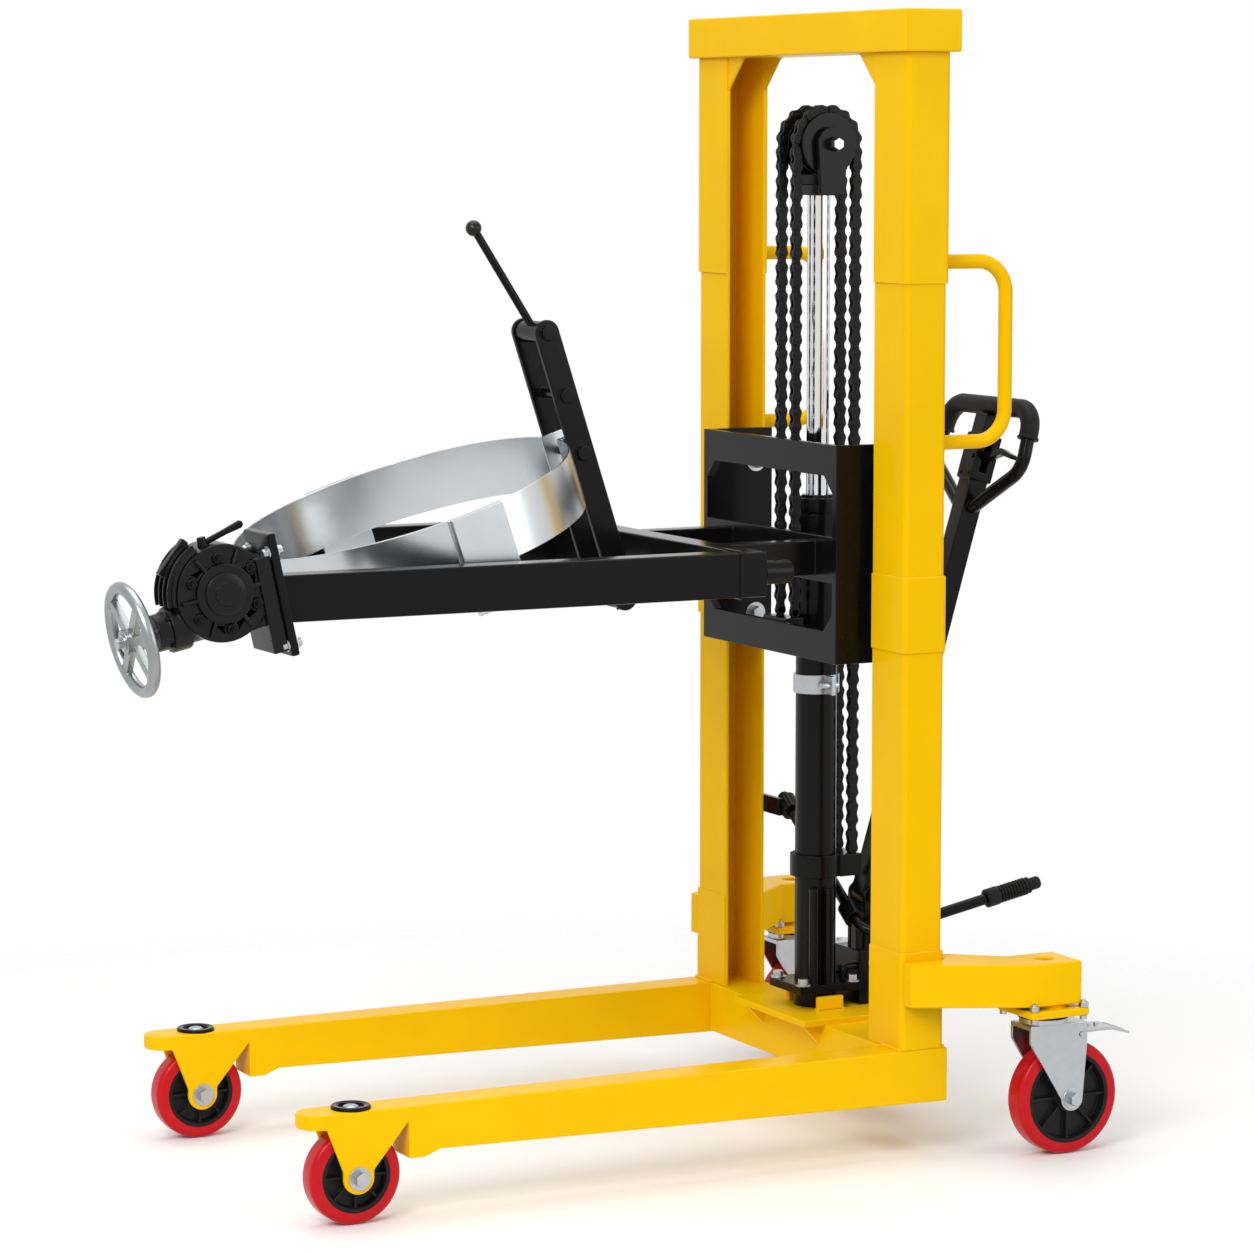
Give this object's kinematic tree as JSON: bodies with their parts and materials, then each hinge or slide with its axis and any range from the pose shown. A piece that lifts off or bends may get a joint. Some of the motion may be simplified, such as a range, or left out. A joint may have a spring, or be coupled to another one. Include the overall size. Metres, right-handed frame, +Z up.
{
  "type": "drum tipper",
  "caption": "Hand-pumped mast lifter on straddle legs that grips a steel drum in a band clamp and tips it forward by a geared handwheel",
  "frame": {"origin": "bottom centre of the bounding box, on the floor", "axes": "+Z up, -X towards the clamp (front), -Y the gearbox side"},
  "size_m": [1.8644, 1.016, 1.972],
  "materials": {
    "yellow_paint": "gloss powder coat",
    "black_paint": "satin black paint",
    "cast_black": "painted casting",
    "chain_steel": "oiled black",
    "chrome_rod": "polished",
    "zinc_steel": "zinc plated",
    "bright_steel": "ground",
    "silver_wheel": "bright cast",
    "red_tyre": "red polyurethane",
    "black_hub": "moulded",
    "black_rubber": "matt",
    "black_knob": "moulded"
  },
  "bodies": {
    "frame": {"near_leg": "yellow_paint", "far_leg": "yellow_paint", "base_beam": "yellow_paint", "near_outrigger": "yellow_paint", "far_outrigger": "yellow_paint", "near_column": "yellow_paint", "far_column": "yellow_paint", "header_beam": "yellow_paint", "grab_handles": "yellow_paint", "cylinder_barrel": "black_paint", "pump_body": "black_paint", "pressure_pipe": "black_paint", "barrel_clip": "zinc_steel", "chain_anchor": "black_paint", "nose_caps": "black_paint", "front_axles": "zinc_steel", "chain_anchor_run": "chain_steel", "pedal_collars": "black_paint"},
    "rod": {"piston_rod": "chrome_rod", "sheave_yoke": "black_paint", "chain_wrap": "chain_steel"},
    "sheaves": {"chain_sheaves": "black_paint"},
    "carriage": {"carriage_frame": "black_paint", "yoke_beam": "black_paint", "near_arm": "black_paint", "far_arm": "black_paint", "gearbox_case": "cast_black", "gearbox_cover": "cast_black", "chain_lift_run": "chain_steel"},
    "near_lower_roller": {"near_lower_roller": "bright_steel"},
    "far_lower_roller": {"far_lower_roller": "bright_steel"},
    "near_upper_roller": {"near_upper_roller": "bright_steel"},
    "far_upper_roller": {"far_upper_roller": "bright_steel"},
    "drive_shaft": {"drive_shaft": "bright_steel"},
    "handwheel": {"handwheel": "silver_wheel", "input_shaft": "bright_steel"},
    "clamp": {"near_half_band": "zinc_steel", "far_half_band": "zinc_steel", "trunnion_shafts": "bright_steel", "clamp_bars": "black_paint"},
    "clamp_lever": {"clamp_lever": "black_paint", "lever_knob": "black_knob"},
    "near_front_wheel": {"near_front_tyre": "red_tyre", "near_front_hub": "black_hub"},
    "far_front_wheel": {"far_front_tyre": "red_tyre", "far_front_hub": "black_hub"},
    "near_caster": {"near_caster_fork": "zinc_steel"},
    "far_caster": {"far_caster_fork": "zinc_steel"},
    "near_caster_wheel": {"near_caster_tyre": "red_tyre", "near_caster_hub": "black_hub"},
    "far_caster_wheel": {"far_caster_tyre": "red_tyre", "far_caster_hub": "black_hub"},
    "near_brake": {"near_brake": "zinc_steel"},
    "far_brake": {"far_brake": "zinc_steel"},
    "pump_handle": {"pump_handle": "black_paint", "handle_grips": "black_rubber"},
    "release_lever": {"release_lever": "black_paint"},
    "pump_plunger": {"pump_plunger": "bright_steel"},
    "foot_pedal": {"foot_pedal": "black_paint", "pedal_grip": "black_rubber"}
  },
  "joints": [
    {"name": "lift", "type": "slide", "parent": "frame", "child": "carriage", "axis": [0, 0, 1], "range_m": [-0.58, 0], "deforming": ["chain_anchor_run", "chain_lift_run"]},
    {"name": "rod_slide", "type": "slide", "parent": "frame", "child": "rod", "axis": [0, 0, 1], "range_m": [-0.3, 0]},
    {"name": "sheave_spin", "type": "hinge", "parent": "rod", "child": "sheaves", "pos_m": [0.52435, 0, 1.745], "axis": [0, 1, 0], "range_deg": [-300, 10]},
    {"name": "tilt", "type": "hinge", "parent": "carriage", "child": "clamp", "pos_m": [-0.24565, 0, 1.022], "axis": [0, -1, 0], "range_deg": [-18, 100]},
    {"name": "drive_spin", "type": "hinge", "parent": "carriage", "child": "drive_shaft", "pos_m": [-0.24565, -0.355, 1.051], "axis": [1, 0, 0], "range_deg": [-365, 2010]},
    {"name": "handwheel_spin", "type": "hinge", "parent": "carriage", "child": "handwheel", "pos_m": [-0.90477, -0.355, 0.97607], "axis": [-0.9781, 0, -0.2079], "range_deg": [-725, 4010]},
    {"name": "clamp_lever_swing", "type": "hinge", "parent": "clamp", "child": "clamp_lever", "pos_m": [-0.0334, 0, 1.42533], "axis": [0, 1, 0], "range_deg": [0, 110]},
    {"name": "handle_swing", "type": "hinge", "parent": "frame", "child": "pump_handle", "pos_m": [0.62935, 0, 0.395], "axis": [0, 1, 0], "range_deg": [0, 50]},
    {"name": "release_pull", "type": "hinge", "parent": "pump_handle", "child": "release_lever", "pos_m": [0.86139, -0.014, 1.17836], "axis": [-0.9588, 0, 0.284], "range_deg": [0, 12], "stiffness_Nm_per_rad": 1.5, "springref_deg": -17.19},
    {"name": "plunger_slide", "type": "slide", "parent": "frame", "child": "pump_plunger", "axis": [0, 0, -1], "range_m": [0, 0.0325]},
    {"name": "pedal_press", "type": "hinge", "parent": "frame", "child": "foot_pedal", "pos_m": [0.58635, -0.075, 0.33], "axis": [0.0105, 0.8259, 0.5637], "range_deg": [0, 12], "stiffness_Nm_per_rad": 12, "springref_deg": -28.65},
    {"name": "near_lower_roller_spin", "type": "hinge", "parent": "carriage", "child": "near_lower_roller", "pos_m": [0.52435, -0.317, 0.89], "axis": [0, 1, 0], "range_deg": [-1000, 1000]},
    {"name": "near_upper_roller_spin", "type": "hinge", "parent": "carriage", "child": "near_upper_roller", "pos_m": [0.52435, -0.317, 1.17], "axis": [0, 1, 0], "range_deg": [-1000, 1000]},
    {"name": "near_front_spin", "type": "hinge", "parent": "frame", "child": "near_front_wheel", "pos_m": [-0.53565, -0.345, 0.08], "axis": [0, 1, 0], "continuous": true},
    {"name": "near_swivel", "type": "hinge", "parent": "frame", "child": "near_caster", "pos_m": [0.72435, -0.45, 0.25], "axis": [0, 0, 1], "continuous": true},
    {"name": "near_caster_spin", "type": "hinge", "parent": "near_caster", "child": "near_caster_wheel", "pos_m": [0.76435, -0.45, 0.1], "axis": [0, 1, 0], "continuous": true},
    {"name": "near_brake_press", "type": "hinge", "parent": "near_caster", "child": "near_brake", "pos_m": [0.78235, -0.45, 0.212], "axis": [0, 1, 0], "range_deg": [0, 6]},
    {"name": "far_lower_roller_spin", "type": "hinge", "parent": "carriage", "child": "far_lower_roller", "pos_m": [0.52435, 0.317, 0.89], "axis": [0, 1, 0], "range_deg": [-1000, 1000]},
    {"name": "far_upper_roller_spin", "type": "hinge", "parent": "carriage", "child": "far_upper_roller", "pos_m": [0.52435, 0.317, 1.17], "axis": [0, 1, 0], "range_deg": [-1000, 1000]},
    {"name": "far_front_spin", "type": "hinge", "parent": "frame", "child": "far_front_wheel", "pos_m": [-0.53565, 0.345, 0.08], "axis": [0, 1, 0], "continuous": true},
    {"name": "far_swivel", "type": "hinge", "parent": "frame", "child": "far_caster", "pos_m": [0.72435, 0.45, 0.25], "axis": [0, 0, 1], "continuous": true},
    {"name": "far_caster_spin", "type": "hinge", "parent": "far_caster", "child": "far_caster_wheel", "pos_m": [0.76435, 0.45, 0.1], "axis": [0, 1, 0], "continuous": true},
    {"name": "far_brake_press", "type": "hinge", "parent": "far_caster", "child": "far_brake", "pos_m": [0.78235, 0.45, 0.212], "axis": [0, 1, 0], "range_deg": [0, 6]}
  ],
  "couplings": [
    {"joint": "rod_slide", "follows": "lift", "ratio": 0.5},
    {"joint": "sheave_spin", "follows": "lift", "rad_per_m": 8.3333},
    {"joint": "drive_spin", "follows": "tilt", "ratio": 20},
    {"joint": "handwheel_spin", "follows": "tilt", "ratio": 40},
    {"joint": "plunger_slide", "follows": "handle_swing", "m_per_rad": 0.036},
    {"joint": "near_lower_roller_spin", "follows": "lift", "rad_per_m": 29.762},
    {"joint": "near_upper_roller_spin", "follows": "lift", "rad_per_m": -29.762},
    {"joint": "far_lower_roller_spin", "follows": "lift", "rad_per_m": 29.762},
    {"joint": "far_upper_roller_spin", "follows": "lift", "rad_per_m": -29.762}
  ]
}
